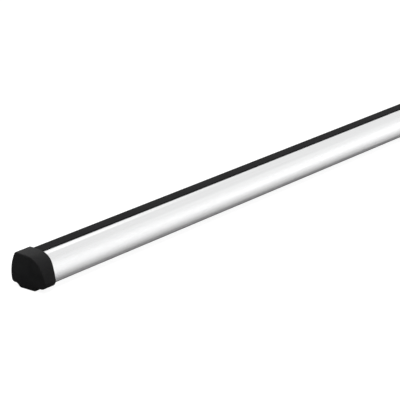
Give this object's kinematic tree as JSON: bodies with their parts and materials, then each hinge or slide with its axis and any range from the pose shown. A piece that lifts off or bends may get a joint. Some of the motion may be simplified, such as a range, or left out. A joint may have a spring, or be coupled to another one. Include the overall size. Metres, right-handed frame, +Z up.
{
  "type": "roof rack crossbar",
  "caption": "Aluminium load bar of rounded section with a T-slot above and below, a rubber strip in the upper slot and moulded end caps.",
  "frame": {"origin": "middle of the bar's length and width, on the plane of the caps' keels", "axes": "+X along the bar, -Y towards the rounded front side, +Z up"},
  "size_m": [1.2212, 0.042, 0.0367],
  "materials": {
    "anodised_metal": "satin anodised, with fine lines along the extrusion",
    "strip_rubber": "matte rubber",
    "cap_plastic": "fine moulded grain"
  },
  "bodies": {
    "bar": {"bar_profile": "anodised_metal", "top_strip": "strip_rubber"},
    "left_cap": {"end_cap_left": "cap_plastic"},
    "right_cap": {"end_cap_right": "cap_plastic"}
  },
  "joints": [
    {"name": "left_cap_pull", "type": "slide", "parent": "bar", "child": "left_cap", "axis": [-1, 0, 0], "range_m": [0, 0.03]},
    {"name": "right_cap_pull", "type": "slide", "parent": "bar", "child": "right_cap", "axis": [1, 0, 0], "range_m": [0, 0.03]}
  ]
}
